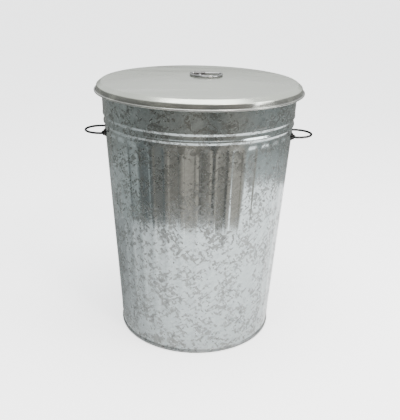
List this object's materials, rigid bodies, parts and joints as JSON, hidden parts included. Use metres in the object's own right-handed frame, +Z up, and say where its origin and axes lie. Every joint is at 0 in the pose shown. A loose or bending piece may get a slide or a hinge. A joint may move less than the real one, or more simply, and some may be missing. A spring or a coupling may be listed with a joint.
{
  "type": "galvanised lidded waste can",
  "caption": "Tapered fluted galvanised steel waste can with wire side handles and a loose lift-off lid with a wire ring.",
  "frame": {"origin": "centre of the face the can stands on", "axes": "+Z up the can's axis; X through the two side handles; the seam is at the back, +Y; the lid ring lies towards the front, -Y"},
  "size_m": [0.5526, 0.495, 0.6418],
  "materials": {
    "galvanised_sheet": "hot-dip galvanised, spangled",
    "lid_sheet": "galvanised, smooth",
    "hoop_steel": "galvanised, dull",
    "bracket_steel": "galvanised, dull",
    "handle_wire": "galvanised wire, dull",
    "rim_wire": "drawn wire",
    "rivet_steel": "plated"
  },
  "bodies": {
    "can": {"body_shell": "galvanised_sheet", "rim_wire": "rim_wire", "base_pan": "galvanised_sheet", "foot_hoop": "hoop_steel", "left_bracket": "bracket_steel", "right_bracket": "bracket_steel", "left_bracket_rivets": "rivet_steel", "right_bracket_rivets": "rivet_steel", "left_rivet_washers": "rivet_steel", "right_rivet_washers": "rivet_steel"},
    "left_handle": {"left_handle": "handle_wire"},
    "right_handle": {"right_handle": "handle_wire"},
    "lid": {"lid_shell": "lid_sheet", "lid_rim_wire": "rim_wire", "lid_saddle": "bracket_steel", "lid_saddle_rivets": "rivet_steel", "lid_rivet_washers": "rivet_steel"},
    "lid_ring": {"lid_ring": "handle_wire"}
  },
  "joints": [
    {"name": "lid_lift", "type": "slide", "parent": "can", "child": "lid", "axis": [0, 0, 1], "range_m": [0, 0.3]},
    {"name": "lid_ring_swing", "type": "hinge", "parent": "lid", "child": "lid_ring", "pos_m": [0, 0.04, 0.63751], "axis": [-1, 0, 0], "range_deg": [0, 180]},
    {"name": "left_handle_swing", "type": "hinge", "parent": "can", "child": "left_handle", "pos_m": [-0.22655, 0, 0.504], "axis": [0, 1, 0], "range_deg": [0, 80]},
    {"name": "right_handle_swing", "type": "hinge", "parent": "can", "child": "right_handle", "pos_m": [0.22655, 0, 0.504], "axis": [0, -1, 0], "range_deg": [0, 80]}
  ]
}
